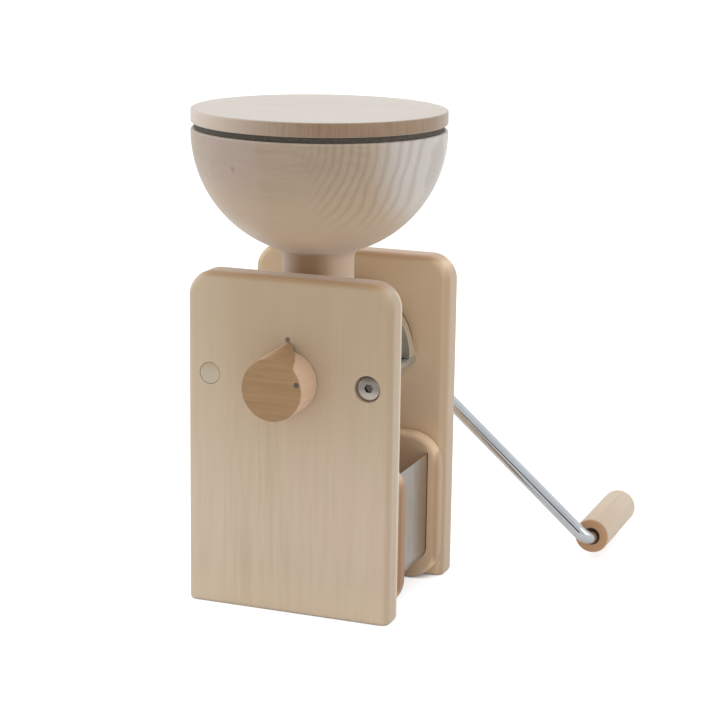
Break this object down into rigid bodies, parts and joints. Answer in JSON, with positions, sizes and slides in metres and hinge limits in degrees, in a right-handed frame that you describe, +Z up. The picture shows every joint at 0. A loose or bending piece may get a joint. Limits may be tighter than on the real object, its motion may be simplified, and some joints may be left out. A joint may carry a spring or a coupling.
{
  "type": "hand grain mill",
  "caption": "Hand-cranked grain mill: wooden boards carry a round hopper with lid, grinding stones in a steel housing, an adjusting knob, a bent crank with a grip and a flour drawer.",
  "frame": {"origin": "on the table plane, under the shaft and midway between the two boards", "axes": "+Z up, +Y along the shaft from the knob to the crank, +X across the boards to the side on which the crank rests"},
  "size_m": [0.2894, 0.337, 0.3733],
  "materials": {
    "board_wood": "oiled pale hardwood, fine upright grain",
    "bowl_wood": "turned pale hardwood, oiled",
    "lid_wood": "flat pale hardwood, oiled",
    "knob_wood": "pale hardwood, end grain in front",
    "grip_wood": "turned pale hardwood, oiled",
    "drawer_wood": "pale hardwood, oiled",
    "polished_steel": "polished",
    "sheet_steel": "satin stainless sheet",
    "shaft_steel": "turned",
    "fastener_steel": "bright zinc plated",
    "dark_steel": "blackened",
    "cast_aluminium": "cast, bead blasted",
    "bronze": "turned bearing bronze",
    "millstone": "bonded corundum, dressed",
    "seal": "matt grey"
  },
  "bodies": {
    "stand": {"front_board": "board_wood", "back_board": "board_wood", "tie_rods": "polished_steel", "front_bolts": "fastener_steel", "rear_cap_nuts": "fastener_steel", "inlet_body": "cast_aluminium", "inlet_screws": "fastener_steel", "front_bush": "bronze", "stone_housing": "polished_steel", "housing_screws": "fastener_steel", "still_stone": "millstone", "spring_discs": "dark_steel", "rear_bush": "bronze", "flour_chute": "sheet_steel", "adjuster_bush": "bronze", "reference_pin": "dark_steel"},
    "hopper": {"hopper": "bowl_wood"},
    "lid": {"lid": "lid_wood", "lid_ring": "seal"},
    "thrust": {"thrust_cup": "shaft_steel", "thrust_ball": "shaft_steel"},
    "knob": {"adjusting_knob": "knob_wood", "adjusting_spindle": "shaft_steel", "knob_pin": "dark_steel"},
    "rotor": {"main_shaft": "shaft_steel", "feed_screw": "shaft_steel", "turning_stone": "millstone", "stone_carrier": "shaft_steel", "crank_hub": "polished_steel", "hub_screws": "dark_steel", "crank_rod": "polished_steel", "grip_washer": "fastener_steel", "grip_screw": "dark_steel"},
    "grip": {"crank_grip": "grip_wood"},
    "drawer": {"drawer_trough": "sheet_steel", "drawer_front_end": "drawer_wood", "drawer_rear_end": "drawer_wood"}
  },
  "joints": [
    {"name": "crank_turn", "type": "hinge", "parent": "thrust", "child": "rotor", "pos_m": [0, 0, 0.179], "axis": [0, 1, 0], "continuous": true},
    {"name": "grip_spin", "type": "hinge", "parent": "rotor", "child": "grip", "pos_m": [0.18038, 0.178, 0.0222], "axis": [0, 1, 0], "continuous": true},
    {"name": "knob_turn", "type": "hinge", "parent": "thrust", "child": "knob", "pos_m": [0, -0.09, 0.179], "axis": [0, 1, 0], "range_deg": [-121, 121]},
    {"name": "thrust_feed", "type": "slide", "parent": "stand", "child": "thrust", "axis": [0, 1, 0], "range_m": [-0.0005, 0.0005]},
    {"name": "drawer_slide", "type": "slide", "parent": "stand", "child": "drawer", "axis": [1, 0, 0], "range_m": [-0.17, 0.17]},
    {"name": "hopper_lift", "type": "slide", "parent": "stand", "child": "hopper", "axis": [0, 0, 1], "range_m": [0, 0.06]},
    {"name": "lid_lift", "type": "slide", "parent": "hopper", "child": "lid", "axis": [0, 0, 1], "range_m": [0, 0.06]}
  ],
  "couplings": [
    {"joint": "knob_turn", "follows": "thrust_feed", "rad_per_m": 4188.8}
  ]
}
